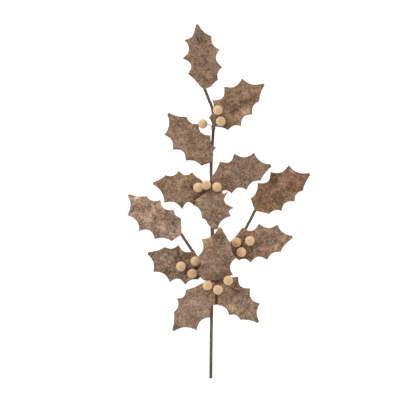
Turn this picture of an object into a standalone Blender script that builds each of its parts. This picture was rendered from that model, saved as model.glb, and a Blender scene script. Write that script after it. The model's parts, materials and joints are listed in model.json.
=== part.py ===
"""Artificial felt holly spray, lying face up: thirteen felt leaves and fifteen small balls for
berries on a taped wire stem with two side branches.

Lengths below are millimetres.  While it is laid out, X is across the spray, Y runs up the stem
from its cut end and Z is the height above the table.  At the end the whole spray is moved so
that the origin is the middle of its footprint, on the table.
"""

import math
from typing import NamedTuple

import bmesh
import bpy
from mathutils import Matrix, Vector
from mathutils.geometry import delaunay_2d_cdt

MM = 0.001
GAP = 0.3

# Stem and branches: steel wire in brown florist's tape.
STEM_SIDES = 8
CORE_SIDES = 6
CORE_RADIUS = 0.7
TAPE_BORE = (CORE_RADIUS + GAP) / math.cos(math.pi / STEM_SIDES)
STEM_RADIUS = 2.2
STEM_RADIUS_BETWEEN_BUNCHES = 2.6
STEM_RADIUS_TOP = 2.05
BRANCH_RADIUS = 2.0
BRANCH_RADIUS_BOUND = 1.6
STEM_STEP = 13.0
STEM_LYING = STEM_RADIUS * math.cos(math.pi / STEM_SIDES)

# How thick the tape is wound, as (distance up the spray, radius): more where more wires are taped in.
STEM_RADII = (
    (90.0, STEM_RADIUS), (140.0, STEM_RADIUS_BETWEEN_BUNCHES),
    (245.0, STEM_RADIUS_BETWEEN_BUNCHES), (272.0, STEM_RADIUS_TOP),
)
BRANCH_RADII = ((130.0, BRANCH_RADIUS_BOUND), (142.0, BRANCH_RADIUS))

# Past this share of upright, a tube's frames take their up from the spray's own axis.
NEARLY_UPRIGHT = 0.95

# Binding of tape round the stem and the feet of both branches.
BINDING_WALL = 0.8
BINDING_SIDES = 12
BINDING_HALF_WIDTH = 8.7
BINDING_ROUTE = ((0.3, 106.0, 5.4), (0.35, 118.0, 7.4), (0.4, 130.0, 9.0))

# Collars of tape that hold the berry wires, and the wires.
COLLAR_WALL = 0.8
COLLAR_LENGTH = 6.0
WIRE_RADIUS = 0.65
WIRE_SIDES = 5
WIRE_SPACING = 1.8
WIRE_STEPS = 6
WIRE_STRAIGHT = 4.0
WIRE_DIP = Vector((0, 0, -0.6))
BERRY_RADIUS = 6.85
BERRY_SEGMENTS = 12
BERRY_RINGS = 8

# Felt leaves, all cut with one die.
FELT = 2.0
NOTCH_STEPS = 4
LEFT_NOTCHES = (0.15, 0.33, 0.22, 0.17)
RIGHT_NOTCHES = (0.19, 0.28, 0.21, 0.07)
BASE_BLUNT = 2.2
TIP_BLUNT = 1.6
INNER_STEP = 11.0
INNER_ROW = INNER_STEP * math.sqrt(3) / 2
INNER_MARGIN = 4.0
WAVE_LENGTH = 26.0
WAVE_WIDTH = 24.0

FELT_BROWN = (0.26, 0.17, 0.12, 1.0)
BERRY_TAN = (0.73, 0.51, 0.27, 1.0)
TAPE_BROWN = (0.09, 0.05, 0.035, 1.0)
STEEL = (0.45, 0.45, 0.46, 1.0)
WIRE_GREY = (0.16, 0.13, 0.11, 1.0)

# Centre lines, from the cut end or the binding outwards.
STEM_ROUTE = (
    (-1.7, 0.0, STEM_LYING), (-1.4, 34.0, STEM_LYING), (-1.0, 68.0, STEM_LYING),
    (-0.8, 77.0, STEM_LYING + 0.1), (-0.6, 90.0, 3.2), (-0.4, 106.0, 5.4),
    (-0.1, 130.0, 9.0), (0.4, 170.0, 11.0), (0.4, 210.0, 12.0), (-0.1, 255.0, 13.0),
    (-1.35, 297.0, 13.0), (-0.3, 324.0, 13.0), (1.15, 344.0, 13.0), (2.0, 360.0, 13.0),
    (1.9, 374.0, 13.0), (0.3, 386.5, 13.0), (-4.6, 399.0, 12.5), (-10.4, 413.7, 12.0),
    (-15.0, 426.0, 11.2),
)
RIGHT_ROUTE = (
    (4.0, 107.5, 5.6), (4.15, 130.0, 9.0), (8.5, 144.0, 9.6), (23.0, 167.0, 9.8),
    (37.0, 191.8, 9.8), (47.9, 213.9, 9.6), (55.0, 227.5, 9.4), (61.9, 240.6, 9.2),
    (70.5, 254.0, 8.4),
)
LEFT_ROUTE = (
    (-4.7, 107.5, 5.6), (-4.75, 130.0, 9.0), (-8.2, 146.0, 9.6), (-18.4, 167.5, 9.8),
    (-29.0, 184.0, 9.6), (-36.6, 195.3, 9.4), (-43.9, 206.4, 9.2), (-53.5, 218.5, 8.4),
)


class Leaf(NamedTuple):
    """One felt leaf, as it lies.

    Spines and corners are (along, out) from the base, base end first.  A third number is the
    depth of the cut from there to the next one, where it strays from the die: 0 for a straight
    cut and less for one that bulges.
    """

    name: str
    base: tuple
    heading: float
    length: float
    left: tuple
    right: tuple
    rise: float
    arch: float = 0.0
    roll: float = 0.0
    cup: float = 0.0
    wave: float = 1.2
    phase: float = 0.0
    lands: bool = False


LEAVES = (
    Leaf("Leaf_Top", (-10.3, 414.1, 15.7), 96.7, 93.2,
         ((3, 5, 0.04), (24, 21, 0.38), (47, 26, 0.31), (73, 20.5, 0.06), (76, 9.5, 0.04)),
         ((2.6, 9, 0.05), (11, 20), (28, 28), (54, 27), (74, 18, 0.11)),
         rise=-0.03, arch=-0.0011, cup=0.002, phase=0.4, lands=True),
    Leaf("Leaf_Upper_Right", (2.6, 360.5, 17.9), 40.3, 93.7,
         ((3, 14), (23, 29), (48, 33), (75, 26)),
         ((7.7, 7.9, 0.05), (12, 17), (30, 24), (53, 22), (73, 14)),
         rise=-0.02, arch=-0.0014, roll=0.03, cup=0.001, phase=1.9, lands=True),
    Leaf("Leaf_Upper_Left", (-0.7, 309.7, 17.2), 131.8, 92.9,
         ((6, 14), (26, 26), (50, 29), (74, 24)),
         ((8.2, 9, 0.12), (11, 18), (29, 24), (53, 22), (72, 16)),
         rise=-0.02, arch=-0.0014, roll=0.02, cup=0.002, phase=3.0, lands=True),
    Leaf("Leaf_Middle_Right", (0.0, 275.4, 17.9), 19.1, 89.0,
         ((3.3, 11.8, 0.05), (22, 29), (45, 33), (72, 25)),
         ((11, 11), (23, 19), (45, 21), (68, 15)),
         rise=0.06, arch=-0.0012, roll=0.06, cup=0.002, phase=0.9),
    Leaf("Leaf_Middle_Left", (-2.6, 271.0, 17.4), 174.2, 81.6,
         ((6, 16), (19, 26, 0.44), (37, 32), (63, 26)),
         ((14, 12, 0.08), (28, 21), (47, 21), (65, 13)),
         rise=0.12, arch=0.0016, roll=0.04, cup=0.001, phase=2.2),
    Leaf("Leaf_Centre_Down", (-1.1, 270.0, 21.4), -83.1, 56.2,
         ((4.2, 14.8, 0.0), (8.2, 15.6, 0.0), (8.2, 18.7, 0.0), (5.3, 23.2, 0.41), (29, 27.2, 0.42),
          (40, 23)),
         ((12, 24, 0.3), (18.5, 25.5, 0.15), (37.7, 17.8, 0.17), (45, 11.6, -0.1)),
         rise=1.15, arch=-0.0100, roll=-0.10, cup=0.004, phase=0.0, wave=0.8),
    Leaf("Leaf_Far_Left", (-43.9, 206.8, 13.0), 143.6, 93.9,
         ((5, 16), (26, 28), (51, 32), (78, 24)),
         ((14, 18), (29, 21), (53, 21), (72, 14)),
         rise=0.02, arch=-0.0015, roll=0.03, cup=0.001, phase=4.2, lands=True),
    Leaf("Leaf_Lower_Left", (-4.1, 159.1, 14.4), 167.0, 89.6,
         ((12, 20), (28, 31), (50, 33), (76, 24)),
         ((19, 10, 0.05), (26, 19), (50, 21), (68, 14)),
         rise=0.05, arch=-0.0012, roll=-0.02, cup=0.002, phase=5.0),
    Leaf("Leaf_Centre_Up", (5.7, 142.4, 24.2), 86.0, 74.5,
         ((-2, 16, -0.1), (11, 28), (30, 29), (56, 24)),
         ((4, 15), (8, 23, 0.25), (33, 25, 0.11), (53, 16, 0.0)),
         rise=0.95, arch=-0.0060, roll=-0.12, cup=-0.003, phase=2.6),
    Leaf("Leaf_Lower_Right", (22.0, 192.0, 14.2), 6.5, 93.6,
         ((10, 6.5, 0.0), (24, 21), (48, 24), (74, 20)),
         ((3, 15, 0.0), (14, 24, 0.22), (30, 29), (54, 28), (74, 19)),
         rise=0.04, arch=-0.0010, roll=0.03, cup=0.001, phase=1.2),
    Leaf("Leaf_Far_Right", (61.6, 240.4, 13.0), 33.7, 94.0,
         ((4.4, 17.5), (25, 30), (49, 33), (76, 27)),
         ((14, 15), (31, 21), (54, 20), (73, 14)),
         rise=0.02, arch=-0.0015, roll=-0.03, cup=-0.001, phase=3.6, lands=True),
    Leaf("Leaf_Bottom_Left", (3.4, 139.2, 18.6), -129.9, 92.0,
         ((9, 9.2, 0.0), (24.3, 20.5, 0.0), (29.5, 18.2, 0.04), (43, 28), (70, 25)),
         ((4, 5.5, 0.0), (16, 13, 0.04), (36, 23), (53, 25), (71, 16)),
         rise=-0.03, arch=-0.0014, roll=0.05, cup=0.001, phase=0.2, lands=True),
    Leaf("Leaf_Bottom_Right", (-0.8, 141.0, 14.2), -42.0, 90.1,
         ((4, 17), (25, 29), (49, 28, 0.27), (74, 21)),
         ((21, 7.3, -0.06), (31, 20, 0.2), (52, 20), (69, 14)),
         rise=0.0, arch=-0.0014, roll=-0.02, cup=0.002, phase=5.6, lands=True),
)


class Bunch(NamedTuple):
    """Berry centres, and the collar of tape that their wires grow from."""

    name: str
    route: tuple
    at: float
    hold: float
    berries: tuple
    bends: tuple


BUNCHES = (
    Bunch("Top", STEM_ROUTE, 358.6, STEM_RADIUS_TOP,
          ((8.2, 383.2, 26.0), (12.3, 367.5, 26.0), (-13.2, 364.2, 19.0)),
          ((-1.0, -1.0, 10.5), (-0.5, -1.0, 10.5), (-1.5, 3.2, 0.3))),
    Bunch("Middle", STEM_ROUTE, 280.5, STEM_RADIUS_TOP,
          ((-20.2, 273.4, 28.3), (-8.3, 276.8, 35.2), (6.7, 273.7, 31.0)),
          ((-2.5, 0.0, 7.0), (-1.5, 0.0, 8.0), (-1.0, 0.0, 9.0))),
    Bunch("Left", LEFT_ROUTE, 145.0, BRANCH_RADIUS + 0.15,
          ((-44.2, 160.9, 24.5), (-23.9, 168.2, 24.5), (-28.2, 150.7, 25.0)),
          ((2.5, 12.0, 9.0), (2.0, 2.0, 11.0), (1.0, 0.0, 12.0))),
    Bunch("Right", RIGHT_ROUTE, 168.0, BRANCH_RADIUS,
          ((34.9, 195.2, 24.5), (53.8, 197.1, 24.5), (41.8, 181.3, 24.5)),
          ((-2.0, 3.0, 8.5), (-1.0, 5.0, 7.5), (-1.0, -1.0, 9.0))),
    Bunch("Bottom", STEM_ROUTE, 149.0, STEM_RADIUS_BETWEEN_BUNCHES,
          ((-6.4, 133.8, 27.5), (8.2, 127.7, 27.5), (22.9, 141.2, 36.3)),
          ((-1.5, -2.6, 9.0), (0.0, -2.6, 9.0), (3.0, -7.5, 7.0))),
)


def clear_scene():
    for thing in list(bpy.data.objects):
        bpy.data.objects.remove(thing, do_unlink=True)


def finish(name, color, roughness, metallic=0.0):
    """A plain Principled material."""
    material = bpy.data.materials.new(name)
    material.use_nodes = True
    shader = material.node_tree.nodes["Principled BSDF"]
    shader.inputs["Base Color"].default_value = color
    shader.inputs["Roughness"].default_value = roughness
    shader.inputs["Metallic"].default_value = metallic
    return material


def add_object(name, bm, material, smooth=False):
    """The bmesh, in millimetres, as a named object in metres."""
    bmesh.ops.scale(bm, vec=(MM, MM, MM), verts=bm.verts)
    mesh = bpy.data.meshes.new(name)
    bm.to_mesh(mesh)
    bm.free()
    if smooth:
        mesh.shade_smooth()
    mesh.materials.append(material)
    thing = bpy.data.objects.new(name, mesh)
    bpy.context.scene.collection.objects.link(thing)
    return thing


def along_route(points, step=STEM_STEP):
    """Points about a step apart on the smooth curve through the given ones."""
    points = [Vector(point) for point in points]
    padded = [2 * points[0] - points[1], *points, 2 * points[-1] - points[-2]]
    curve = [points[0]]
    for before, start, end, after in zip(padded, padded[1:], padded[2:], padded[3:]):
        pieces = max(1, round((end - start).length / step))
        for index in range(1, pieces + 1):
            t = index / pieces
            curve.append(0.5 * (2 * start + (end - before) * t
                                + (2 * before - 5 * start + 4 * end - after) * t ** 2
                                + (3 * start - before - 3 * end + after) * t ** 3))
    return curve


def frames_along(curve):
    """A matrix at each point, with its Z along the curve and its Y turned as little as can be."""
    frames = []
    up = Vector((0, 0, 1))
    for index, point in enumerate(curve):
        ahead = curve[min(index + 1, len(curve) - 1)] - curve[max(index - 1, 0)]
        ahead.normalize()
        if abs(ahead.dot(up)) > NEARLY_UPRIGHT:
            up = Vector((0, -1, 0))
        side = up.cross(ahead).normalized()
        up = ahead.cross(side).normalized()
        axes = Matrix((side, up, ahead)).transposed().to_4x4()
        frames.append(Matrix.Translation(point) @ axes)
    return frames


def sweep(bm, frames, sizes, sides):
    """A tube extruded from frame to frame, with a flat side down.  Returns its two end rings."""
    flat_down = Matrix.Rotation(math.pi / sides - math.pi / 2, 4, "Z")
    shapes = [frame @ Matrix.Diagonal((across, high, 1, 1))
              for frame, (across, high) in zip(frames, sizes)]
    ring = bmesh.ops.create_circle(bm, segments=sides, radius=1, matrix=shapes[0] @ flat_down)["verts"]
    first = ring
    for previous, shape in zip(shapes, shapes[1:]):
        rim = [bm.edges.get((start, end)) for start, end in zip(ring, ring[1:] + ring[:1])]
        grown = set(bmesh.ops.extrude_edge_only(bm, edges=rim)["geom"])
        ring = [next(other for other in (edge.other_vert(vertex) for edge in vertex.link_edges)
                     if other in grown) for vertex in ring]
        bmesh.ops.transform(bm, matrix=shape @ previous.inverted(), verts=ring)
    return first, ring


def solid_tube(name, curve, radius, sides, material):
    bm = bmesh.new()
    for ring in sweep(bm, frames_along(curve), [(radius, radius)] * len(curve), sides):
        bm.faces.new(ring)
    bmesh.ops.recalc_face_normals(bm, faces=bm.faces)
    return add_object(name, bm, material, smooth=True)


def sleeve(name, curve, outer_sizes, bore_sizes, sides, material):
    """A tube with a bore, open at both ends."""
    bm = bmesh.new()
    frames = frames_along(curve)
    outer = sweep(bm, frames, outer_sizes, sides)
    bore = sweep(bm, frames, bore_sizes, sides)
    for outside, within in zip(outer, bore):
        for index in range(sides):
            bm.faces.new((outside[index - 1], outside[index], within[index], within[index - 1]))
    bmesh.ops.recalc_face_normals(bm, faces=bm.faces)
    return add_object(name, bm, material, smooth=True)


def tape_radius(radii, y):
    """How thick the tape is wound at a given distance up the spray, from (distance, radius) pairs."""
    if y <= radii[0][0]:
        return radii[0][1]
    for (low, start), (high, end) in zip(radii, radii[1:]):
        if y <= high:
            return start + (end - start) * (y - low) / (high - low)
    return radii[-1][1]


def taped_wire(name, route, radii, tape, steel):
    """Steel wire in its tape, cut flush with it at both ends."""
    curve = along_route(route)
    sizes = [(tape_radius(radii, point.y),) * 2 for point in curve]
    sleeve(f"{name}_Tape", curve, sizes, [(TAPE_BORE,) * 2] * len(curve), STEM_SIDES, tape)
    solid_tube(f"{name}_Wire", curve, CORE_RADIUS, CORE_SIDES, steel)


def notch(start, end, depth):
    """Points of the hollow arc cut between two spines, without its start."""
    chord = end - start
    inward = Vector((-chord.y, chord.x))
    bend = (start + end) / 2 + 2 * depth * inward
    points = []
    for index in range(1, NOTCH_STEPS + 1):
        t = index / NOTCH_STEPS
        points.append((1 - t) ** 2 * start + 2 * t * (1 - t) * bend + t ** 2 * end)
    return points


def cut_side(leaf, spines, side, depths):
    """The points of one side, from the base to the blunt tip, and the notch depth after each spine."""
    points = [Vector((spine[0], side * spine[1])) for spine in spines]
    points.append(Vector((leaf.length, side * TIP_BLUNT)))
    own = (0.0,) * (len(spines) - len(depths)) + depths[-len(spines):]
    return points, [spine[2] if len(spine) > 2 else depth for spine, depth in zip(spines, own)]


def leaf_outline(leaf):
    """The cut edge, counterclockwise, in the leaf's own axes: X to the tip, Y to its left."""
    right, right_depths = cut_side(leaf, leaf.right, -1, RIGHT_NOTCHES)
    left, left_depths = cut_side(leaf, leaf.left, 1, LEFT_NOTCHES)
    first = right[0].normalized() * BASE_BLUNT
    last = left[0].normalized() * BASE_BLUNT
    outline = [last, Vector((-BASE_BLUNT / 3, 0)), first, right[0]]
    for start, end, depth in zip(right, right[1:], right_depths):
        outline += notch(start, end, depth)
    left.reverse()
    outline.append(left[0])
    for start, end, depth in zip(left, left[1:], reversed(left_depths)):
        outline += notch(start, end, depth)
    return outline


def inside(point, outline, margin):
    """Whether a point is in the outline and at least a margin from its edge."""
    crossings = 0
    for start, end in zip(outline, outline[1:] + outline[:1]):
        side = end - start
        share = max(0.0, min(1.0, (point - start).dot(side) / side.length_squared))
        if (start + share * side - point).length < margin:
            return False
        if (start.y > point.y) != (end.y > point.y):
            if start.x + (point.y - start.y) / (end.y - start.y) * side.x > point.x:
                crossings += 1
    return crossings % 2 == 1


def leaf_points(outline):
    """Rows of points within the outline, so that the felt can curve between its edges."""
    columns = math.ceil(max(point.x for point in outline) / INNER_STEP)
    rows = math.ceil(max(abs(point.y) for point in outline) / INNER_ROW)
    points = []
    for row in range(-rows, rows + 1):
        shift = INNER_STEP / 2 if row % 2 else 0.0
        for column in range(columns):
            point = Vector((column * INNER_STEP + shift, row * INNER_ROW))
            if inside(point, outline, INNER_MARGIN):
                points.append(point)
    return points


def leaf_height(leaf, along, out, rise):
    """Height of the middle of the felt above the leaf's base."""
    edge = (out / WAVE_WIDTH) ** 2
    wave = leaf.wave * edge * math.sin(2 * math.pi * along / WAVE_LENGTH + leaf.phase)
    return rise * along + leaf.arch * along ** 2 + leaf.roll * out + leaf.cup * out ** 2 + wave


def landing_rise(leaf, points):
    """The slope at which a drooping leaf's lowest point just meets the table."""
    rise = leaf.rise
    for _ in range(6):
        low, along = min((leaf.base[2] - FELT / 2 + leaf_height(leaf, point.x, point.y, rise), point.x)
                         for point in points)
        rise -= low / along
    return rise


def make_leaf(leaf, material):
    outline = leaf_outline(leaf)
    inner = leaf_points(outline)
    count = len(outline)
    ring = [(index, (index + 1) % count) for index in range(count)]
    flat, _, faces, *_ = delaunay_2d_cdt(outline + inner, ring, [], 1, 1e-4)
    rise = landing_rise(leaf, flat) if leaf.lands else leaf.rise
    turn = Matrix.Translation(leaf.base) @ Matrix.Rotation(math.radians(leaf.heading), 4, "Z")
    bm = bmesh.new()
    vertices = [bm.verts.new(turn @ Vector((point.x, point.y, leaf_height(leaf, point.x, point.y, rise))))
                for point in flat]
    for face in faces:
        bm.faces.new([vertices[index] for index in face])
    bm.normal_update()
    if sum(face.normal.z for face in bm.faces) < 0:
        bmesh.ops.reverse_faces(bm, faces=bm.faces)
    thing = add_object(leaf.name, bm, material)
    thickness = thing.modifiers.new("Felt", "SOLIDIFY")
    thickness.thickness = FELT * MM
    thickness.offset = 0.0
    return thing


def fuse(name, pieces):
    """One body from several that run into each other."""
    base, *others = pieces
    group = bpy.data.collections.new(name)
    for piece in others:
        group.objects.link(piece)
    union = base.modifiers.new("Union", "BOOLEAN")
    union.operation = "UNION"
    union.operand_type = "COLLECTION"
    union.collection = group
    union.solver = "EXACT"
    shape = base.evaluated_get(bpy.context.evaluated_depsgraph_get())
    mesh = bpy.data.meshes.new_from_object(shape)
    base.modifiers.clear()
    base.data = mesh
    base.name = name
    mesh.name = name
    for piece in others:
        bpy.data.objects.remove(piece, do_unlink=True)
    bpy.data.collections.remove(group)
    return base


def point_at(curve, y):
    """The point of a route at a given distance up the spray."""
    for start, end in zip(curve, curve[1:]):
        if start.y <= y <= end.y:
            return start.lerp(end, (y - start.y) / (end.y - start.y))
    raise ValueError(f"the route does not reach {y}")


def wire_curve(start, leave, arrive, end):
    """Points along the one bend of a berry wire."""
    points = []
    for index in range(WIRE_STEPS + 1):
        t = index / WIRE_STEPS
        points.append((1 - t) ** 3 * start + 3 * (1 - t) ** 2 * t * leave
                      + 3 * (1 - t) * t ** 2 * arrive + t ** 3 * end)
    return points


def make_bunch(bunch, berry_material, wire_material):
    """Three berries, and their wires rooted in one collar of tape."""
    curve = along_route(bunch.route)
    held = [point_at(curve, bunch.at + offset) for offset in (-COLLAR_LENGTH / 2, 0.0, COLLAR_LENGTH / 2)]
    bore = bunch.hold + GAP
    outer = bore + COLLAR_WALL
    pieces = [sleeve("Collar", held, [(outer, outer)] * 3, [(bore, bore)] * 3, STEM_SIDES, wire_material)]
    middle = held[1]
    along = (held[2] - held[0]).normalized()
    for index, (centre, bend) in enumerate(zip(bunch.berries, bunch.bends)):
        centre = Vector(centre)
        bend = Vector(bend)
        foot = middle + (index - 1) * WIRE_SPACING * along
        outward = (bend - bend.dot(along) * along).normalized()
        root = foot + outward * (bore + 0.75 * COLLAR_WALL)
        under = ((root + bend - centre).normalized() + WIRE_DIP).normalized()
        stop = centre + under * (BERRY_RADIUS + 1.5 * GAP)
        curve_out = wire_curve(root, root + bend, stop + under * WIRE_STRAIGHT, stop)
        pieces.append(solid_tube(f"Wire_{index}", curve_out, WIRE_RADIUS, WIRE_SIDES, wire_material))
        bm = bmesh.new()
        bmesh.ops.create_uvsphere(bm, u_segments=BERRY_SEGMENTS, v_segments=BERRY_RINGS,
                                  radius=BERRY_RADIUS, matrix=Matrix.Translation(centre))
        add_object(f"Berry_{bunch.name}_{index + 1}", bm, berry_material, smooth=True)
    fuse(f"Berry_Wires_{bunch.name}", pieces)


def make_binding(material):
    """The flat turn of tape that holds both branches against the stem."""
    curve = [Vector(point) for point in BINDING_ROUTE]
    bore = (BINDING_HALF_WIDTH - BINDING_WALL, STEM_RADIUS_BETWEEN_BUNCHES + GAP)
    outer = (BINDING_HALF_WIDTH, bore[1] + BINDING_WALL)
    sleeve("Branch_Binding", curve, [outer] * len(curve), [bore] * len(curve), BINDING_SIDES, material)


def centre_spray():
    """Move the whole spray so that the origin is under the middle of its footprint."""
    bpy.context.view_layer.update()
    things = [thing for thing in bpy.data.objects if thing.type == "MESH"]
    depsgraph = bpy.context.evaluated_depsgraph_get()
    corners = [Vector(corner) for thing in things for corner in thing.evaluated_get(depsgraph).bound_box]
    low = [min(corner[axis] for corner in corners) for axis in range(3)]
    high = [max(corner[axis] for corner in corners) for axis in range(3)]
    spray = bpy.data.objects.new("Spray", None)
    bpy.context.scene.collection.objects.link(spray)
    for thing in things:
        thing.parent = spray
    spray.location = (-(low[0] + high[0]) / 2, -(low[1] + high[1]) / 2, -low[2])


def main():
    clear_scene()
    felt = finish("Felt", FELT_BROWN, 0.95)
    flock = finish("Flock", BERRY_TAN, 0.9)
    tape = finish("Tape", TAPE_BROWN, 0.8)
    steel = finish("Steel", STEEL, 0.35, 1.0)
    wire = finish("Berry_Wire", WIRE_GREY, 0.6)
    taped_wire("Stem", STEM_ROUTE, STEM_RADII, tape, steel)
    taped_wire("Branch_Right", RIGHT_ROUTE, BRANCH_RADII, tape, steel)
    taped_wire("Branch_Left", LEFT_ROUTE, BRANCH_RADII, tape, steel)
    make_binding(tape)
    for leaf in LEAVES:
        make_leaf(leaf, felt)
    for bunch in BUNCHES:
        make_bunch(bunch, flock, wire)
    centre_spray()


main()
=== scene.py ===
"""Looks of the artificial holly spray: heathered felt leaves, flocked berries and taped wire stems.

Lengths are metres, in the part's own frame: the spray lies face up on a table at height zero,
with +Y up its stem.
"""

import json
import math
from typing import NamedTuple

import bmesh
import bpy
from mathutils import Matrix, Vector, noise

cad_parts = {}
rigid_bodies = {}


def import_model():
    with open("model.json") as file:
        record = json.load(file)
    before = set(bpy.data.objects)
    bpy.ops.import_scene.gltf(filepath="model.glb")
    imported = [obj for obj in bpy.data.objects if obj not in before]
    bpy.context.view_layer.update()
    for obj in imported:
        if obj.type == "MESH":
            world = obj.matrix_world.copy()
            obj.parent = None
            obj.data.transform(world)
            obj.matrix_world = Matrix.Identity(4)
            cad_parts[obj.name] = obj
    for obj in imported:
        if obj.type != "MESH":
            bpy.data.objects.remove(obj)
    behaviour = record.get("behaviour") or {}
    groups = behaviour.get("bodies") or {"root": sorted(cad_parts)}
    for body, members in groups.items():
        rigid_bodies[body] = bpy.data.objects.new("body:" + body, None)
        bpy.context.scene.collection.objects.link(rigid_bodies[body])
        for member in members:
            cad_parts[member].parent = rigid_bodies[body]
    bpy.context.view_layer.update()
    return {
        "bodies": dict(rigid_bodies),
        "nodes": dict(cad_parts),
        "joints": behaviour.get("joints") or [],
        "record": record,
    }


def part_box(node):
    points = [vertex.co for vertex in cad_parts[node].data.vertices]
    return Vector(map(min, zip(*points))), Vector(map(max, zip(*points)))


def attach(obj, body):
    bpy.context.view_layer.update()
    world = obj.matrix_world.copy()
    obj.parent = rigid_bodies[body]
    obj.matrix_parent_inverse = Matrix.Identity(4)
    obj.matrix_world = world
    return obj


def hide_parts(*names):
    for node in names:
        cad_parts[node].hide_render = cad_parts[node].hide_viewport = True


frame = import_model()

MM = 0.001
MERGE = 0.01 * MM

# Felt leaves.
FELT = 2.0 * MM
LEAF_SUBDIVISIONS = 3
UPPER_FACE_ANGLE = math.radians(45)
FACE_JOIN_ANGLE = math.radians(25)
FACE_JOIN_SHAPE = math.radians(50)
SPINE_ANGLE = math.radians(28)
LUMP_SIZE = 17.0 * MM
LUMP_HEIGHT = 0.8 * MM
DENT_SIZE = 5.5 * MM
DENT_HEIGHT = 0.22 * MM
FRAY_SIZE = 1.7 * MM
FRAY = 0.16 * MM
EDGE_ROUNDING = 0.35 * MM
EDGE_SPREAD = 0.2 * MM
SPINE_SPREAD = 0.6 * MM
# How much lighter the cut edge's felt is: painted sheen on the cut edge.
CUT_EDGE_SHEEN_LIFT = 1.25

# Degrees between the turns that a leaf's cut is measured at.
SIZE_TURN = 2

# What the wool's colours do to a leaf's own brown: red, green and blue shares.
COOL_WOOL = (0.945, 0.99, 1.065)
MAUVE_WOOL = (1.05, 0.945, 1.03)
OLIVE_WOOL = (0.96, 1.045, 0.96)
DARK_CLUMP = (1.06, 0.975, 0.87)
LIGHT_CLUMP = (0.945, 1.005, 1.07)
CREAM_FIBRE = (0.95, 1.0, 1.09)
UMBER_FIBRE = (1.10, 0.98, 0.84)
# The red, green and blue shares that the marks darken or lighten by, painted shadow and highlight among
# them.
MARK_COLOUR = (0.93, 1.0, 1.10)

# Berries.
BERRY_SUBDIVISIONS = 5
FLOCK_SIZE = 1.1 * MM
FLOCK_HEIGHT = 0.07 * MM
# The pit's dip, and the darker flock round it: partly the pit's own colour, partly painted shade over the
# middle of the berry's face.
PIT_WIDTH = 0.42
PIT_DEPTH = 0.35 * MM
PIT_SHADE = 1.6
FLOCK_PALE = (0.86, 0.62, 0.38)
FLOCK_DEEP = (0.69, 0.44, 0.22)
FLOCK_BRIGHT = (0.95, 0.76, 0.54)
FLOCK_ORANGE = (1.0, 0.76, 0.56)

# Florist's tape.
TAPE_SIDES = 22
TAPE_STEP = 1.3 * MM
TAPE_PITCH = 8.5 * MM
TAPE_LAP = 0.16 * MM
TAPE_CREPE_SIZE = 1.4 * MM
TAPE_CREPE = 0.05 * MM
TAPE_BORE = 0.75 * MM
SLEEVE_SIDES = 16
BINDING_SIDES = 24
BINDING_PITCH = 6.5 * MM
BINDING_WALL = 0.8 * MM
STEM_BROWN = (0.146, 0.094, 0.068)
BRANCH_BROWN = (0.125, 0.078, 0.054)
BINDING_BROWN = (0.166, 0.083, 0.043)

# How dark the tape is up the spray, as places up the spray and the share of the tape's own colour there:
# darkest part way up the stem.
TAPE_TONES = (
    (-0.250, 0.88), (-0.205, 1.10), (-0.170, 1.18), (0.010, 1.10), (0.044, 0.90), (0.052, 0.46),
    (0.105, 0.48), (0.140, 0.80),
)

# Berry wires.
WIRE_VOXEL = 0.28 * MM
WIRE_SMOOTHING = 5
WIRE_SMOOTHING_SHARE = 0.5
WIRE_TIP = 0.5 * MM
WIRE_STUB_SIDES = 8
WIRE_STUB_RADIUS = 0.5 * MM
WIRE_STUB_REACH = 1.2 * MM

# The seed of the frayed edges and of the wandering of the marks.
NOISE_SEED = 7

# The table, and the lamps by name, place, size and power.
TABLE_REACH = 6.0
TABLE_DROP = 0.2 * MM
TABLE_GREY = (0.4, 0.4, 0.4, 1.0)
TABLE_GLOW = 0.95
WHITE = (1.0, 1.0, 1.0, 1.0)
LAMPS = (("Key", (-0.9, 1.1, 1.7), 0.9, 24.0), ("Fill", (1.1, -0.6, 1.6), 1.4, 6.0))
ROOM_LIGHT = 0.45

# The view from straight above.
VIEW_CENTRE = Vector((-0.0270, 0.0019, 0.013))
VIEW_WIDTH = 0.5715
VIEW_DISTANCE = 4.0
VIEW_REACH = 20.0
SENSOR = 36.0


class Felt(NamedTuple):
    """How one leaf's piece of felt looks, and the tape that it is glued to, which is not used.

    Contrast is between its dark and light clumps, warmth is of its warm patches, and grain is the
    angle in degrees that its fibres run at.
    """

    brown: tuple
    contrast: float = 1.0
    warmth: float = 0.5
    grain: float = 0.0
    seed: float = 0.0
    glued_to: str = "Stem_Tape"


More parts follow.
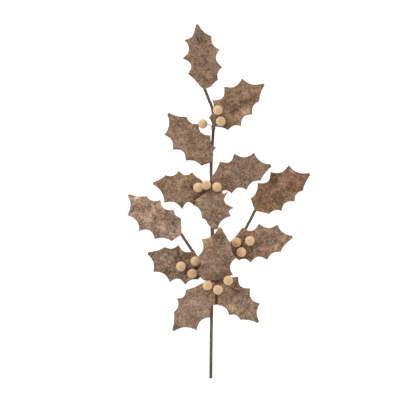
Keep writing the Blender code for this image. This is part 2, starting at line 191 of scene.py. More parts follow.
FELTS = {
    "Leaf_Top": Felt((0.231, 0.148, 0.101), 1.05, 1.1, 20, 1.1),
    "Leaf_Upper_Right": Felt((0.250, 0.154, 0.096), 1.0, 0.8, -30, 2.3),
    "Leaf_Upper_Left": Felt((0.243, 0.152, 0.099), 1.05, 0.8, 50, 3.7),
    "Leaf_Middle_Right": Felt((0.231, 0.145, 0.096), 1.0, 0.7, 10, 4.9),
    "Leaf_Middle_Left": Felt((0.257, 0.164, 0.100), 1.05, 0.8, 80, 5.3),
    "Leaf_Centre_Down": Felt((0.245, 0.161, 0.104), 1.1, 0.5, -80, 6.1),
    "Leaf_Far_Left": Felt((0.310, 0.202, 0.140), 1.15, 0.5, 35, 7.7, "Branch_Left_Tape"),
    "Leaf_Lower_Left": Felt((0.214, 0.137, 0.091), 1.45, 0.7, 60, 8.2),
    "Leaf_Centre_Up": Felt((0.280, 0.177, 0.115), 1.0, 0.8, 5, 9.4),
    "Leaf_Lower_Right": Felt((0.268, 0.167, 0.107), 1.1, 0.8, -20, 10.6, "Branch_Right_Tape"),
    "Leaf_Far_Right": Felt((0.220, 0.127, 0.076), 1.1, 1.0, 40, 11.8, "Branch_Right_Tape"),
    "Leaf_Bottom_Left": Felt((0.294, 0.192, 0.132), 0.8, 0.5, -45, 12.5),
    "Leaf_Bottom_Right": Felt((0.289, 0.189, 0.124), 1.1, 0.6, 70, 13.9),
}


class Mark(NamedTuple):
    """A paler (above 0) or darker place on a leaf, from one point of the spray to another. Some are patches
    of the felt's own tone, and some are painted light: painted shadow, painted shade in a dent, or a
    painted highlight.

    Points, width and dent are millimetres.  The dent is how deep the felt is pressed in there.
    """

    start: tuple
    end: tuple
    width: float
    tone: float
    dent: float = 0.0


def spot(place, width, tone, dent=0.0):
    """A mark that is round."""
    return Mark(place, place, width, tone, dent)


# Patches of each leaf's own tone, mixed with painted light. Dark marks beside the berries and under raised
# leaf edges are painted shadow. Dark marks with a dent are painted shade in a pressed groove. Pale marks on
# a ridge or along a lifted cut edge are painted highlight.
PATCHES_AND_PAINTED_LIGHT = {
    "Leaf_Top": (
        Mark((-29, 234), (-25, 229), 4, -0.22), spot((-22, 216), 4, -0.15), spot((-4, 216), 4, 0.30),
        spot((-10, 205), 3, 0.16), spot((-33, 190), 5, 0.15), Mark((-22, 202), (-19, 180), 4, -0.14),
        spot((-21, 173), 5, -0.20), spot((-5, 177), 4, -0.22), spot((-46, 203), 3, -0.25),
    ),
    "Leaf_Upper_Right": (
        Mark((22, 131), (36, 140), 3.5, -0.34, 0.5), Mark((36, 142), (56, 152), 2.4, -0.28, 0.5),
        spot((7, 141), 5, -0.22), spot((12, 108), 5, -0.25), spot((39, 162), 3.5, 0.34),
        spot((56, 163), 4, 0.32), Mark((28, 124), (42, 131), 4, 0.26), spot((8, 125), 3, 0.35),
        spot((0, 142), 3, 0.25),
    ),
    "Leaf_Upper_Left": (
        spot((-58, 107), 9, -0.20), spot((-30, 107), 2.5, -0.30),
        Mark((-38, 88), (-20, 66), 2.6, -0.16, 0.4), spot((-24, 84), 3.5, 0.32),
        spot((-35, 70), 4, 0.30), spot((-55, 80), 5, 0.16), spot((-18, 58), 4, -0.20),
    ),
    "Leaf_Middle_Left": (
        spot((-54, 29), 3.5, 0.30), Mark((-63, 17), (-66, 10), 3.5, 0.22),
        Mark((-48, 21), (-38, 20), 3, -0.30, 0.3), spot((-77, 26), 4, -0.15), spot((-35, 32), 4, -0.20),
        # Painted shadow: a dark line beside Centre_Down's raised edge, and its wider fade.
        Mark((-10.7, 19.5), (-34.4, 0.8), 1.5, -0.72), Mark((-18, 18), (-38, 5), 4.0, -0.12),
    ),
    "Leaf_Far_Left": (
        Mark((-115, 4), (-92, -4), 5, 0.22), Mark((-98, -9), (-92, -14), 4, 0.20),
        spot((-116, -15), 5, 0.12), Mark((-109, -7), (-100, -10), 3, -0.30, 0.4),
        Mark((-97, -15), (-62, -35), 2.6, -0.26, 0.5), spot((-68, -22), 6, -0.14),
        spot((-82, -42), 5, 0.10), spot((-118, 5), 2.4, 0.42), spot((-99, -18), 3.0, 0.90),
        spot((-94, -12), 2.6, 0.45), spot((-103.5, -27), 2.2, 0.60),
    ),
    "Leaf_Middle_Right": (
        spot((13, 22), 6, -0.28), spot((7, 32), 3, -0.15), spot((34, 50), 4, -0.14),
        spot((50, 62), 4, 0.22), spot((20, 50), 4, 0.12), spot((22, 27), 3, 0.16),
        spot((40, 25), 4, 0.14),
    ),
    "Leaf_Far_Right": (
        Mark((80, 36), (77, 26), 4.5, -0.45, 0.4), spot((60, -5), 7, -0.20), spot((60, 20), 4, -0.16),
        Mark((80, 8), (108, 27), 2.6, -0.20, 0.4), Mark((87, 19), (92, 31), 4, 0.26),
        spot((104, 42), 5, 0.32), spot((100, 5), 7, 0.14), spot((124, 38), 4, 0.24),
        spot((99, 45), 2.5, -0.22),
    ),
    "Leaf_Centre_Down": (
        # Painted shadow under the berries at (0, 11). A painted shade line with a dent in the fold at the
        # tip. A painted highlight along the raised upper edge. A painted shadow and a painted highlight in
        # the two spots by the spine.
        spot((-10, 8), 4, -0.20), spot((0, 11), 4, -0.28), spot((-28, -2), 5, 0.16),
        Mark((-5, -14), (-8, -26), 4, -0.12), Mark((-6.2, -28.4), (-1.0, -34.0), 1.3, -0.62, 0.6),
        Mark((-4, -36), (-11, -30), 2.2, 0.22), Mark((-10, 14), (-32, -0.5), 1.3, 0.26),
        spot((-31.4, -3.4), 1.4, -0.6), spot((-29.0, -4.0), 1.3, 0.6),
    ),
    "Leaf_Lower_Left": (
        Mark((-60, -70), (-50, -88), 2.4, -0.45, 0.6), Mark((-67, -73), (-60, -84), 1.8, -0.25, 0.4),
        Mark((-56, -70), (-53, -77), 1.5, 0.30, -0.3), spot((-44, -75), 5, -0.28),
        spot((-64, -72), 2, 0.25), spot((-88, -99), 6, 0.16), spot((-62, -104), 5, 0.14),
        spot((-42, -113), 3, 0.14),
    ),
    "Leaf_Lower_Right": (
        # Painted shadow of a berry at (42, -66), and of Centre_Up's raised edge along (19, -64) to (24,
        # -76).
        spot((42, -66), 5, -0.35), spot((45, -82), 4, -0.25), Mark((56, -58), (66, -60), 4, -0.18, 0.3),
        spot((55, -73), 3, -0.20), spot((61, -44), 5, 0.30), spot((80, -64), 4.5, 0.36),
        spot((78, -44), 6, -0.10), spot((94, -53), 4, 0.10), Mark((19, -64), (24, -76), 2.5, -0.30),
    ),
    "Leaf_Centre_Up": (
        Mark((1, -49), (4, -60), 4, -0.28), spot((-12, -94), 8, 0.10), spot((-21, -60), 4, 0.12),
        # Painted highlight along the lifted cut edge, and painted shade along the base edge near the bottom
        # berries.
        Mark((15.0, -64), (17.4, -74), 1.2, 0.30), Mark((17.4, -74), (22.4, -81), 1.2, 0.35),
        Mark((-14, -109), (6, -107), 3, -0.22), spot((14, -100), 5, -0.10),
    ),
    "Leaf_Bottom_Left": (
        spot((-44, -147), 4.5, 0.24), Mark((-22, -150), (-15, -161), 5, 0.18),
        spot((-61, -178), 4, -0.30), spot((-31, -171), 4, -0.14), spot((-20, -122), 6, -0.15),
        # Painted shadow of Centre_Up's base edge and the bottom berries.
        Mark((-21, -113), (5, -113), 3.0, -0.40),
    ),
    "Leaf_Bottom_Right": (
        Mark((14, -121), (28, -133), 6, -0.26), Mark((38, -148), (28, -138), 5, 0.18),
        spot((20, -156), 5, 0.12), spot((52, -164), 5, -0.16), spot((42, -128), 3, -0.16),
        # Painted shadow of Centre_Up's base edge and the bottom berries.
        Mark((-12, -112), (8, -113), 3.0, -0.40),
    ),
}

# How strong the marks are, and how far they wander from their places, in millimetres.
MARK_STRENGTH = 1.6
MARK_DEEPEST = -0.7
MARK_STRAY = 1.5
MARK_STRAY_SIZE = 6.0

BUNCHES = ("Top", "Middle", "Left", "Right", "Bottom")


class Flock(NamedTuple):
    """How one berry looks: where its pit points, how light its flock is and how orange."""

    pit: tuple
    light: float = 1.0
    orange: float = 0.0


FLOCKS = {
    "Berry_Top_1": Flock((0.1, 0.0, 1.0), 0.99),
    "Berry_Top_2": Flock((0.0, 0.1, 1.0), 0.96),
    "Berry_Top_3": Flock((0.45, -0.1, 1.0), 0.92, 0.1),
    "Berry_Middle_1": Flock((0.1, -0.1, 1.0), 1.04),
    "Berry_Middle_2": Flock((-0.1, 0.1, 1.0), 1.0),
    "Berry_Middle_3": Flock((0.1, 0.0, 1.0), 1.04, 0.05),
    "Berry_Left_1": Flock((0.1, -0.1, 1.0), 1.0),
    "Berry_Left_2": Flock((0.2, -0.2, 1.0), 0.94, 0.1),
    "Berry_Left_3": Flock((0.15, 0.1, 1.0), 0.90, 0.35),
    "Berry_Right_1": Flock((-0.35, -0.45, 1.0), 0.90, 0.5),
    "Berry_Right_2": Flock((0.0, 0.0, 1.0), 1.08),
    "Berry_Right_3": Flock((-0.5, 0.1, 1.0), 1.08, 0.3),
    "Berry_Bottom_1": Flock((0.0, 0.0, 1.0), 1.10),
    "Berry_Bottom_2": Flock((0.0, 0.0, 1.0), 1.08),
    "Berry_Bottom_3": Flock((0.0, 0.0, 1.0), 1.06),
}


class Graph:
    """A short way to add nodes to a material and join them."""

    def __init__(self, name):
        self.material = bpy.data.materials.new(name)
        self.material.use_nodes = True
        self.tree = self.material.node_tree
        self.shader = self.tree.nodes["Principled BSDF"]

    def add(self, kind, inputs=None, **settings):
        node = self.tree.nodes.new(kind)
        for key, value in settings.items():
            setattr(node, key, value)
        for key, value in (inputs or {}).items():
            self.feed(node.inputs[key], value)
        return node

    def feed(self, socket, value):
        if isinstance(value, bpy.types.NodeSocket):
            self.tree.links.new(value, socket)
        else:
            socket.default_value = value

    def place(self, angle=0.0, offset=0.0):
        """Object coordinates, turned about the vertical and moved."""
        where = self.add("ShaderNodeTexCoord").outputs["Object"]
        return self.add("ShaderNodeMapping", {
            "Vector": where, "Location": (offset, offset * 0.7, offset * 1.3),
            "Rotation": (0.0, 0.0, math.radians(angle)),
        }).outputs["Vector"]

    def vector(self, operation, first, second):
        node = self.add("ShaderNodeVectorMath", {0: first, 1: second}, operation=operation)
        return node.outputs["Vector"]

    def multiply(self, first, second):
        return self.mix(1.0, first, second, "MULTIPLY")

    def speckle(self, where, scale, detail=3.0, roughness=0.55, distortion=0.0):
        return self.add("ShaderNodeTexNoise", {
            "Vector": where, "Scale": scale, "Detail": detail, "Roughness": roughness,
            "Distortion": distortion,
        }).outputs["Fac"]

    def ramp(self, factor, *stops):
        node = self.add("ShaderNodeValToRGB", {"Fac": factor})
        while len(node.color_ramp.elements) < len(stops):
            node.color_ramp.elements.new(0.5)
        for element, (position, value) in zip(node.color_ramp.elements, stops):
            element.position = position
            element.color = (value, value, value, 1.0) if isinstance(value, float) else (*value, 1.0)
        return node.outputs["Color"]

    def mix(self, factor, first, second, blend="MIX"):
        node = self.add("ShaderNodeMix", data_type="RGBA", blend_type=blend)
        for socket, value in zip((node.inputs[0], node.inputs[6], node.inputs[7]), (factor, first, second)):
            self.feed(socket, (*value, 1.0) if isinstance(value, tuple) and len(value) == 3 else value)
        return node.outputs[2]

    def number(self, operation, first, second):
        return self.add("ShaderNodeMath", {0: first, 1: second}, operation=operation).outputs[0]

    def attribute(self, name):
        return self.add("ShaderNodeAttribute", attribute_name=name).outputs["Fac"]

    def bump(self, height, distance, strength):
        node = self.add("ShaderNodeBump", {"Height": height, "Distance": distance, "Strength": strength})
        return node.outputs["Normal"]

    def finish(self, **inputs):
        for key, value in inputs.items():
            self.feed(self.shader.inputs[key.replace("_", " ")], value)
        return self.material


def shade(color, factor):
    """The colour, darker or lighter."""
    return tuple(channel * factor for channel in color)


def tint(color, shares):
    """The colour with its red, green and blue each taken by a share."""
    return tuple(channel * share for channel, share in zip(color, shares))


def fibres(graph, angle, seed, across, along):
    """Thin curly streaks that run at one angle."""
    where = graph.vector("MULTIPLY", graph.place(angle, seed), (along, across, across))
    curl = graph.add("ShaderNodeTexNoise", {
        "Vector": graph.place(0, seed + 3), "Scale": 200.0, "Detail": 1.0,
    })
    curled = graph.vector("MULTIPLY", curl.outputs["Color"], (0.9, 2.2, 2.2))
    return graph.speckle(graph.vector("ADD", where, curled), 1.0, 2.0, 0.5)


def felt_material(name, felt, sheen_lift=1.0):
    """Heathered wool-blend felt: patches, clumps and stray fibres, dark, tan, olive, mauve and cream.
    The leaf's marks are laid over it, with painted shadow, shade and highlight among them. A lift above 1
    gives the lighter copy used on the cut edge, which is painted sheen.
    """
    graph = Graph(name)
    brown = shade(felt.brown, sheen_lift)
    cloth = graph.speckle(graph.place(felt.grain, felt.seed), 75.0, 5.0, 1.0, 0.4)
    warmth = graph.speckle(graph.place(felt.grain, felt.seed + 1), 80.0, 3.0, 0.6)
    hue = graph.speckle(graph.place(felt.grain, felt.seed + 2), 130.0, 4.0, 0.8)
    cool = tint(brown, COOL_WOOL)
    warm = tint(brown, (1.04 + 0.06 * felt.warmth, 1.01, 0.96 - 0.11 * felt.warmth))
    base = graph.mix(graph.ramp(warmth, (0.38, 0.0), (0.62, 1.0)), cool, warm)
    base = graph.multiply(base, graph.ramp(hue, (0.38, MAUVE_WOOL), (0.62, OLIVE_WOOL)))
    # A ramp holds no colour above 1, so the clumps' shares are halved in it and doubled after it.
    dark = max(0.1, 1.0 - 0.62 * felt.contrast) / 2
    light = (1.0 + 1.4 * felt.contrast) / 2
    clumps = graph.ramp(cloth, (0.38, shade(DARK_CLUMP, dark)), (0.50, 0.48),
                        (0.63, shade(LIGHT_CLUMP, light)))
    base = graph.multiply(base, graph.multiply(clumps, (2.0, 2.0, 2.0)))
    # The marks: patches of the felt's own tone, with painted shadow, painted shade and painted highlight
    # among them.
    marks = graph.vector("MULTIPLY", graph.attribute("tone"), MARK_COLOUR)
    base = graph.multiply(base, graph.vector("ADD", marks, (1.0, 1.0, 1.0)))
    streaks = [fibres(graph, felt.grain + turn, felt.seed + turn / 10, 800.0, 300.0)
               for turn in (15, 75, -50)]
    pale = graph.number("MAXIMUM", streaks[0], graph.number("MAXIMUM", streaks[1], streaks[2]))
    deep = graph.number("MINIMUM", streaks[0], graph.number("MINIMUM", streaks[1], streaks[2]))
    cream = tint(shade(brown, 2.0), CREAM_FIBRE)
    umber = tint(shade(brown, 0.36), UMBER_FIBRE)
    base = graph.mix(graph.ramp(pale, (0.56, 0.0), (0.70, 0.9)), base, cream)
    base = graph.mix(graph.ramp(deep, (0.29, 0.75), (0.42, 0.0)), base, umber)
    height = graph.number("ADD", graph.number("MULTIPLY", cloth, 1.2), graph.number("MULTIPLY", pale, 0.8))
    normal = graph.bump(height, 0.6 * MM, 0.8)
    return graph.finish(Base_Color=base, Normal=normal, Roughness=0.97, Specular_IOR_Level=0.15,
                        Sheen_Weight=0.15, Sheen_Roughness=0.5, Sheen_Tint=(0.9, 0.8, 0.7, 1.0))


def berry_material():
    """Pale tan flock, darker round the pit, partly the pit's own colour and partly painted shade over the
    middle of the face, and not quite even from berry to berry.
    """
    graph = Graph("Berry_Flock")
    grains = graph.speckle(graph.place(), 650.0, 3.0, 0.8)
    clouds = graph.speckle(graph.place(0, 4.0), 260.0, 2.0, 0.5)
    # Darker round the pit: partly the pit's own colour, partly painted shade.
    tone = graph.mix(graph.attribute("pit"), FLOCK_PALE, FLOCK_DEEP)
    tone = graph.mix(graph.ramp(clouds, (0.35, 0.0), (0.7, 0.25)), tone, shade(FLOCK_DEEP, 1.05))
    tone = graph.mix(graph.ramp(grains, (0.3, 0.5), (0.48, 0.0), (0.7, 0.0)), tone, shade(FLOCK_DEEP, 0.85))
    tone = graph.mix(graph.ramp(grains, (0.54, 0.0), (0.70, 0.6)), tone, FLOCK_BRIGHT)
    tone = graph.multiply(tone, graph.mix(graph.attribute("orange"), (1.0, 1.0, 1.0), FLOCK_ORANGE))
    tone = graph.multiply(tone, graph.attribute("light"))
    normal = graph.bump(grains, 0.25 * MM, 0.5)
    return graph.finish(Base_Color=tone, Normal=normal, Roughness=0.9, Specular_IOR_Level=0.2,
                        Sheen_Weight=0.55, Sheen_Roughness=0.35, Sheen_Tint=(1.0, 0.92, 0.78, 1.0))


def tape_material(name, brown):
    """Waxed crepe paper tape, with painted shade under the edge of each turn."""
    graph = Graph(name)
    along = graph.vector("MULTIPLY", graph.place(0, 2.0), (1.0, 0.35, 1.0))
    crepe = graph.speckle(along, 1400.0, 3.0, 0.6)
    stains = graph.speckle(graph.place(0, 6.0), 120.0, 3.0, 0.6)
    tone = graph.mix(graph.ramp(stains, (0.3, 0.0), (0.7, 1.0)), shade(brown, 0.8), shade(brown, 1.3))
    tone = graph.mix(graph.ramp(crepe, (0.45, 0.0), (0.7, 0.6)), tone, shade(brown, 1.8))
    # Painted shade under the lapping edge of each turn.
    tone = graph.mix(graph.ramp(graph.attribute("lap"), (0.0, 0.7), (0.16, 0.0)), tone, shade(brown, 0.4))
    tone = graph.multiply(tone, graph.attribute("tape_tone"))
    normal = graph.bump(crepe, 0.12 * MM, 0.6)
    return graph.finish(Base_Color=tone, Normal=normal, Roughness=0.8, Specular_IOR_Level=0.12)


def wire_material():
    """Paper-covered wire, grey brown, with its fine spiral of paper."""
    graph = Graph("Covered_Wire")
    paper = graph.speckle(graph.place(), 900.0, 3.0, 0.6)
    tone = graph.ramp(paper, (0.3, (0.07, 0.05, 0.04)), (0.6, (0.16, 0.125, 0.10)),
                      (0.8, (0.30, 0.25, 0.21)))
    normal = graph.bump(paper, 0.1 * MM, 0.5)
    return graph.finish(Base_Color=tone, Normal=normal, Roughness=0.7, Specular_IOR_Level=0.3)


def steel_material():
    """Drawn steel wire, dulled by the tape."""
    graph = Graph("Core_Steel")
    dull = graph.speckle(graph.place(), 700.0, 2.0, 0.6)
    tone = graph.ramp(dull, (0.3, (0.30, 0.29, 0.28)), (0.7, (0.55, 0.54, 0.53)))
    rough = graph.ramp(dull, (0.3, 0.3), (0.7, 0.5))
    return graph.finish(Base_Color=tone, Roughness=rough, Metallic=1.0)


def piece_of(name, mesh, materials, node):
    """A finished mesh as a piece that stands for a node of the part."""
    piece = bpy.data.objects.new(name, mesh)
    bpy.context.scene.collection.objects.link(piece)
    for material in materials:
        mesh.materials.append(material)
    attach(piece, "root")
    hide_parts(node)
    return piece


def merged_copy(node):
    """The node's solid as one joined skin."""
    bm = bmesh.new()
    bm.from_mesh(frame["nodes"][node].data)
    bmesh.ops.remove_doubles(bm, verts=bm.verts, dist=MERGE)
    bm.normal_update()
    return bm


def evaluated(piece):
    """The piece's mesh with its modifiers applied."""
    shape = piece.evaluated_get(bpy.context.evaluated_depsgraph_get())
    return bpy.data.meshes.new_from_object(shape)


def keep_upper_face(bm):
    """Leaves only the leaf's upper side, grown from its most level face up to the cut edge."""
    start = max(bm.faces, key=lambda face: face.normal.z)
    upper = {start}
    fringe = [start]
    while fringe:
        face = fringe.pop()
        for edge in face.edges:
            for other in edge.link_faces:
                if other not in upper and other.normal.angle(face.normal) < UPPER_FACE_ANGLE:
                    upper.add(other)
                    fringe.append(other)
    bmesh.ops.delete(bm, geom=[face for face in bm.faces if face not in upper], context="FACES")


def mark_spines(bm):
    """Keeps the corners of the cut edge sharp, so that only the notches between them are rounded."""
    crease = bm.verts.layers.float.new("crease_vert")
    for vertex in bm.verts:
        rim = [edge for edge in vertex.link_edges if edge.is_boundary]
        if len(rim) == 2:
            before, after = (edge.other_vert(vertex).co - vertex.co for edge in rim)
            turn = math.pi - before.angle(after)
            inward = sum((face.calc_center_median() - vertex.co for face in vertex.link_faces), Vector())
            if turn > SPINE_ANGLE and (before + after).dot(inward) > 0:
                vertex[crease] = 1.0


def marked(place, marks):
    """Tone and dent that a leaf's marks give a point of it."""
    place = place / MM
    stray = noise.noise_vector(place / MARK_STRAY_SIZE) * MARK_STRAY
    place = Vector((place.x + stray.x, place.y + stray.y))
    tone = 0.0
    dent = 0.0
    for mark in marks:
        start = Vector(mark.start)
        run = Vector(mark.end) - start
        share = (place - start).dot(run) / run.length_squared if run.length else 0.0
        away = (start + max(0.0, min(1.0, share)) * run - place).length / mark.width
        reach = math.exp(-away ** 2 / 2)
        tone += mark.tone * reach
        dent += mark.dent * MM * reach
    return max(MARK_DEEPEST, tone * MARK_STRENGTH), dent


def spread(vertex):
    """How far the pressed felt swells out of its cut edge at a point of the rim."""
    inward = sum((face.calc_center_median() - vertex.co for face in vertex.link_faces), Vector())
    rim = [edge for edge in vertex.link_edges if edge.is_boundary]
    before, after = (edge.other_vert(vertex).co - vertex.co for edge in rim)
    sharp = math.pi - before.angle(after) > SPINE_ANGLE and (before + after).dot(inward) > 0
    return -inward.normalized() * (SPINE_SPREAD if sharp else EDGE_SPREAD)


def lumpy(vertex, seed):
    """How far the felt's uneven thickness moves a point of its surface."""
    where = vertex.co + Vector((seed, seed, seed))
    lump = noise.noise(where / LUMP_SIZE) * LUMP_HEIGHT
    return lump + noise.noise(where / DENT_SIZE) * DENT_HEIGHT


def thicken(bm):
    """Gives the sheet its thickness downwards, with a rounded cut edge in the second material."""
    bm.normal_update()
    down = {vertex: -FELT * vertex.normal for vertex in bm.verts}
    lower = set(bm.faces)
    grown = bmesh.ops.extrude_face_region(bm, geom=list(lower), use_keep_orig=True)["geom"]
    upper = {item for item in grown if isinstance(item, bmesh.types.BMFace)}
    for vertex, drop in down.items():
        vertex.co += drop
    sides = set(bm.faces) - lower - upper
    for face in sides:
        face.material_index = 1
    rim = [edge for edge in bm.edges if sum(face in sides for face in edge.link_faces) == 1]
    bmesh.ops.recalc_face_normals(bm, faces=bm.faces)
    bmesh.ops.bevel(bm, geom=rim, offset=EDGE_ROUNDING, offset_type="OFFSET", segments=2, profile=0.5,
                    affect="EDGES", clamp_overlap=True, material=-1)


def cut_size(bm):
    """Width, length and area of the piece of felt that the leaf was cut from."""
    area = sum(face.calc_area() for face in bm.faces)
    normal = sum((face.normal * face.calc_area() for face in bm.faces), Vector())
    level = normal.to_track_quat("Z", "Y").inverted()
    rim = [level @ vertex.co for vertex in bm.verts if vertex.is_boundary]
    sizes = []
    for degrees in range(0, 180, SIZE_TURN):
        turn = Matrix.Rotation(math.radians(degrees), 3, "Z")
        turned = [turn @ point for point in rim]
        sizes.append([max(values) - min(values) for values in zip(*turned)][:2])
    return (*min(sizes), area)


def rounded_cut(node):
    """The leaf's upper side with its notches rounded and its spines sharp."""
    bm = merged_copy(node)
    keep_upper_face(bm)
    bmesh.ops.join_triangles(bm, faces=bm.faces, angle_face_threshold=FACE_JOIN_ANGLE,
                             angle_shape_threshold=FACE_JOIN_SHAPE)
    mark_spines(bm)
    rough = bpy.data.meshes.new(f"{node}_Cut")
    bm.to_mesh(rough)
    bm.free()
    cut = bpy.data.objects.new(f"{node}_Cut", rough)
    bpy.context.scene.collection.objects.link(cut)
    smooth = cut.modifiers.new("Smooth", "SUBSURF")
    smooth.levels = LEAF_SUBDIVISIONS
    smooth.render_levels = LEAF_SUBDIVISIONS
    mesh = evaluated(cut)
    bpy.data.objects.remove(cut)
    return mesh


def felt_leaf(node, felt):
    """A leaf of lumpy, marked felt with a frayed edge, laid on its tape."""
    mesh = rounded_cut(node)
    bm = bmesh.new()
    bm.from_mesh(mesh)
    bm.normal_update()
    width, length, area = cut_size(bm)
    tones_and_shade = bm.verts.layers.float.new("tone")
    pushes = []
    for vertex in bm.verts:
        vertex[tones_and_shade], dent = marked(vertex.co, PATCHES_AND_PAINTED_LIGHT[node])
        push = vertex.normal * (lumpy(vertex, felt.seed) - dent)
        if vertex.is_boundary:
            push += noise.noise_vector(vertex.co / FRAY_SIZE) * FRAY + spread(vertex)
        pushes.append(push)
    for vertex, push in zip(bm.verts, pushes):
        vertex.co += push
    thicken(bm)
    for vertex in bm.verts:
        vertex.co.z = max(0.0, vertex.co.z)
    bm.to_mesh(mesh)
    bm.free()
    mesh.name = f"{node}_Felt"
    mesh.shade_smooth()
    surface = felt_material(f"Felt_{node}", felt)
    # The cut edge gets a lighter copy of the felt, painted sheen.
    sheen_cut_edge = felt_material(f"Cut_{node}", felt, CUT_EDGE_SHEEN_LIFT)
    piece = piece_of(f"{node}_Felt", mesh, [surface, sheen_cut_edge], node)


def berry(node, flock, material):
    """A flocked ball with a soft pit where its seam closes."""
    low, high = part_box(node)
    centre = (low + high) / 2
    radius = (high.z - low.z) / 2
    axis = Vector(flock.pit).normalized()
    bm = bmesh.new()
    bmesh.ops.create_icosphere(bm, subdivisions=BERRY_SUBDIVISIONS, radius=radius,
                               matrix=Matrix.Translation(centre))
    pit_and_shade = []
    for vertex in bm.verts:
        outward = (vertex.co - centre).normalized()
        # Darker round the pit: partly its own colour, partly painted shade over the middle of the face.
        share = max(0.0, 1.0 - outward.angle(axis) / (2 * PIT_WIDTH))
        dip = PIT_DEPTH * max(0.0, 1.0 - outward.angle(axis) / PIT_WIDTH) ** 2
        pit_and_shade.append(min(1.0, PIT_SHADE * share))
        vertex.co += outward * (noise.noise(vertex.co / FLOCK_SIZE) * FLOCK_HEIGHT - dip)
    mesh = bpy.data.meshes.new(f"{node}_Flock")
    bm.to_mesh(mesh)
    bm.free()
    looks = {"pit": pit_and_shade, "light": [flock.light] * len(pit_and_shade), "orange": [flock.orange] * len(pit_and_shade)}
    for name, values in looks.items():
        mesh.attributes.new(name, "FLOAT", "POINT").data.foreach_set("value", values)
    mesh.shade_smooth()
    piece_of(f"{node}_Flock", mesh, [material], node)


def rings_of(node, count):
    """Centre, half width, half height and reach of each ring of a sleeve's solid, from its lower end up."""
    bm = merged_copy(node)
    ring = set(sorted(bm.verts, key=lambda vertex: vertex.co.y)[:count])
    seen = set(ring)
    rings = []
    while ring:
        points = sorted((vertex.co.copy() for vertex in ring), key=tuple)
        centre = sum(points, Vector()) / len(points)
        across = max(abs(point.x - centre.x) for point in points)
        reach = max((point - centre).length for point in points)
        high = max(abs(point.z - centre.z) for point in points)
        rings.append((centre, across, high, reach))
        ring = {edge.other_vert(vertex) for vertex in ring for edge in vertex.link_edges} - seen
        seen |= ring
    bm.free()
    return rings


def along_route(rows, step):
    """Rows of numbers about a step apart, on the smooth curve through the given ones."""
    rows = [Vector(row) for row in rows]
    padded = [2 * rows[0] - rows[1], *rows, 2 * rows[-1] - rows[-2]]
    curve = [rows[0]]
    for before, start, end, after in zip(padded, padded[1:], padded[2:], padded[3:]):
        pieces = max(1, round((end - start).length / step))
        for index in range(1, pieces + 1):
            t = index / pieces
            curve.append(0.5 * (2 * start + (end - before) * t
                                + (2 * before - 5 * start + 4 * end - after) * t ** 2
                                + (3 * start - before - 3 * end + after) * t ** 3))
    return curve


def frames_along(curve):
    """A matrix at each point, with its Z along the curve and its Y turned as little as can be."""
    frames = []
    up = Vector((0, 0, 1))
    for index, point in enumerate(curve):
        ahead = (curve[min(index + 1, len(curve) - 1)] - curve[max(index - 1, 0)]).normalized()
        side = up.cross(ahead).normalized()
        up = ahead.cross(side).normalized()
        frames.append(Matrix.Translation(point) @ Matrix((side, up, ahead)).transposed().to_4x4())
    return frames


def sweep(bm, frames, sizes, sides):
    """A tube extruded from frame to frame.  Returns its rings, each in order round the tube."""
    shapes = [frame @ Matrix.Diagonal((across, high, 1, 1)) for frame, (across, high) in zip(frames, sizes)]
    ring = bmesh.ops.create_circle(bm, segments=sides, radius=1, matrix=shapes[0])["verts"]
    rings = [ring]
    for previous, shape in zip(shapes, shapes[1:]):
        rim = [bm.edges.get((start, end)) for start, end in zip(ring, ring[1:] + ring[:1])]
        grown = set(bmesh.ops.extrude_edge_only(bm, edges=rim)["geom"])
        ring = [next(other for other in (edge.other_vert(vertex) for edge in vertex.link_edges)
                     if other in grown) for vertex in ring]
        bmesh.ops.transform(bm, matrix=shape @ previous.inverted(), verts=ring)
        rings.append(ring)
    return rings


def tape_tone_at(y):
    """The share of its own colour that the tape has at a place up the spray."""
    for (low, start), (high, end) in zip(TAPE_TONES, TAPE_TONES[1:]):
        if y < high:
            return start + (end - start) * max(0.0, y - low) / (high - low)
    return TAPE_TONES[-1][1]


def wound_tape(node, count, pitch, material, wall=None):
    """Tape wound in a spiral, each turn's edge lapping over the one before it.

    Count is the sides of the node's solid.  With a wall it is a loose flat turn, and without one it is
    round and fits its wire.
    """
    rows = [(*centre, across, high, reach) for centre, across, high, reach in rings_of(node, count)]
    fine = along_route(rows, TAPE_STEP)
    curve = [Vector(row[:3]) for row in fine]
    frames = frames_along(curve)
    if wall is None:
        outer = [(row[5], row[5]) for row in fine]
        bore = [(TAPE_BORE, TAPE_BORE)] * len(fine)
    else:
        outer = [(row[3], row[4]) for row in fine]
        bore = [(across - wall, high - wall) for across, high in outer]
    bm = bmesh.new()
    lap = bm.verts.layers.float.new("lap")
    tape_tone = bm.verts.layers.float.new("tape_tone")
    outside = sweep(bm, frames, outer, TAPE_SIDES)
    inside = sweep(bm, frames, bore, TAPE_SIDES)
    for vertex in bm.verts:
        vertex[tape_tone] = tape_tone_at(vertex.co.y)
    travelled = 0.0
    for index, ring in enumerate(outside):
        if index:
            travelled += (curve[index] - curve[index - 1]).length
        for side, vertex in enumerate(ring):
            turn = (travelled / pitch + side / TAPE_SIDES) % 1.0
            vertex[lap] = turn
            out = (vertex.co - curve[index]).normalized()
            crepe = noise.noise(vertex.co / TAPE_CREPE_SIZE) * TAPE_CREPE
            vertex.co += out * (TAPE_LAP * (turn - 0.5) + crepe)
    for ring in inside:
        for vertex in ring:
            vertex[lap] = 0.5
    for rim, mouth in ((outside[0], inside[0]), (outside[-1], inside[-1])):
        for side in range(TAPE_SIDES):
            bm.faces.new((rim[side - 1], rim[side], mouth[side], mouth[side - 1]))
    bmesh.ops.recalc_face_normals(bm, faces=bm.faces)
    mesh = bpy.data.meshes.new(f"{node}_Wound")
    bm.to_mesh(mesh)
    bm.free()
    mesh.shade_smooth()
    piece_of(f"{node}_Wound", mesh, [material], node)


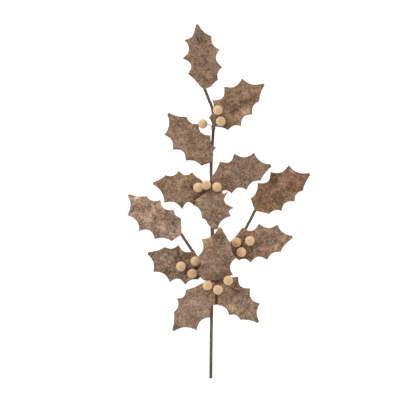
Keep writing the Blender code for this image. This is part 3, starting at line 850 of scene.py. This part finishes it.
def berry_wires(bunch, material):
    """The bunch's wires, run on into their berries and smoothed into one taped joint."""
    node = f"Berry_Wires_{bunch}"
    bm = merged_copy(node)
    for number in (1, 2, 3):
        low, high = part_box(f"Berry_{bunch}_{number}")
        centre = (low + high) / 2
        radius = (high.z - low.z) / 2
        reach = min((vertex.co - centre).length for vertex in bm.verts) + WIRE_TIP
        tip = [vertex.co.copy() for vertex in bm.verts if (vertex.co - centre).length < reach]
        end = sum(tip, Vector()) / len(tip)
        way = (centre - end).normalized()
        start = end - way * WIRE_STUB_REACH
        stop = centre - way * (radius - WIRE_STUB_REACH)
        turn = way.to_track_quat("Z", "Y").to_matrix().to_4x4()
        bmesh.ops.create_cone(bm, cap_ends=True, segments=WIRE_STUB_SIDES, radius1=WIRE_STUB_RADIUS,
                              radius2=WIRE_STUB_RADIUS, depth=(stop - start).length,
                              matrix=Matrix.Translation((start + stop) / 2) @ turn)
    mesh = bpy.data.meshes.new(node)
    bm.to_mesh(mesh)
    bm.free()
    rough = bpy.data.objects.new(f"{node}_Rough", mesh)
    bpy.context.scene.collection.objects.link(rough)
    skin = rough.modifiers.new("Skin", "REMESH")
    skin.mode = "VOXEL"
    skin.voxel_size = WIRE_VOXEL
    soft = rough.modifiers.new("Soft", "SMOOTH")
    soft.factor = WIRE_SMOOTHING_SHARE
    soft.iterations = WIRE_SMOOTHING
    mesh = evaluated(rough)
    bpy.data.objects.remove(rough)
    mesh.shade_smooth()
    piece_of(f"{node}_Covered", mesh, [material], node)


def table():
    """A pale, softly lit table top."""
    bm = bmesh.new()
    bmesh.ops.create_grid(bm, x_segments=1, y_segments=1, size=TABLE_REACH,
                          matrix=Matrix.Translation((0, 0, -TABLE_DROP)))
    mesh = bpy.data.meshes.new("Table")
    bm.to_mesh(mesh)
    bm.free()
    graph = Graph("Table_White")
    mesh.materials.append(graph.finish(Base_Color=TABLE_GREY, Roughness=0.9, Specular_IOR_Level=0.0,
                                       Emission_Color=WHITE, Emission_Strength=TABLE_GLOW))
    top = bpy.data.objects.new("Table", mesh)
    bpy.context.scene.collection.objects.link(top)


def studio():
    """Even light from all round, with two soft lamps above."""
    world = bpy.data.worlds.new("Studio")
    world.use_nodes = True
    room = world.node_tree.nodes["Background"]
    room.inputs["Color"].default_value = WHITE
    room.inputs["Strength"].default_value = ROOM_LIGHT
    bpy.context.scene.world = world
    for name, place, size, power in LAMPS:
        lamp = bpy.data.lights.new(name, "AREA")
        lamp.energy = power
        lamp.size = size
        light = bpy.data.objects.new(name, lamp)
        light.location = place
        light.rotation_euler = (-Vector(place)).to_track_quat("-Z", "Y").to_euler()
        light.visible_camera = False
        bpy.context.scene.collection.objects.link(light)


def camera():
    """The lens straight above the spray."""
    lens = bpy.data.cameras.new("View")
    lens.sensor_width = SENSOR
    lens.lens = SENSOR * VIEW_DISTANCE / VIEW_WIDTH
    lens.clip_end = VIEW_REACH
    view = bpy.data.objects.new("View", lens)
    view.location = VIEW_CENTRE + Vector((0, 0, VIEW_DISTANCE))
    bpy.context.scene.collection.objects.link(view)
    bpy.context.scene.camera = view


def main():
    """Lights the table and dresses every piece of the spray."""
    noise.seed_set(NOISE_SEED)
    camera()
    studio()
    table()
    bpy.context.scene.view_settings.view_transform = "Standard"
    stem_tape = tape_material("Stem_Tape", STEM_BROWN)
    branch_tape = tape_material("Branch_Tape", BRANCH_BROWN)
    binding_tape = tape_material("Binding_Tape", BINDING_BROWN)
    steel = steel_material()
    covered = wire_material()
    flock = berry_material()
    wound_tape("Stem_Tape", SLEEVE_SIDES, TAPE_PITCH, stem_tape)
    wound_tape("Branch_Left_Tape", SLEEVE_SIDES, TAPE_PITCH, branch_tape)
    wound_tape("Branch_Right_Tape", SLEEVE_SIDES, TAPE_PITCH, branch_tape)
    wound_tape("Branch_Binding", BINDING_SIDES, BINDING_PITCH, binding_tape, wall=BINDING_WALL)
    for node in ("Stem_Wire", "Branch_Left_Wire", "Branch_Right_Wire"):
        frame["nodes"][node].data.materials.clear()
        frame["nodes"][node].data.materials.append(steel)
    for node, felt in FELTS.items():
        felt_leaf(node, felt)
    for node, look in FLOCKS.items():
        berry(node, look, flock)
    for bunch in BUNCHES:
        berry_wires(bunch, covered)


main()
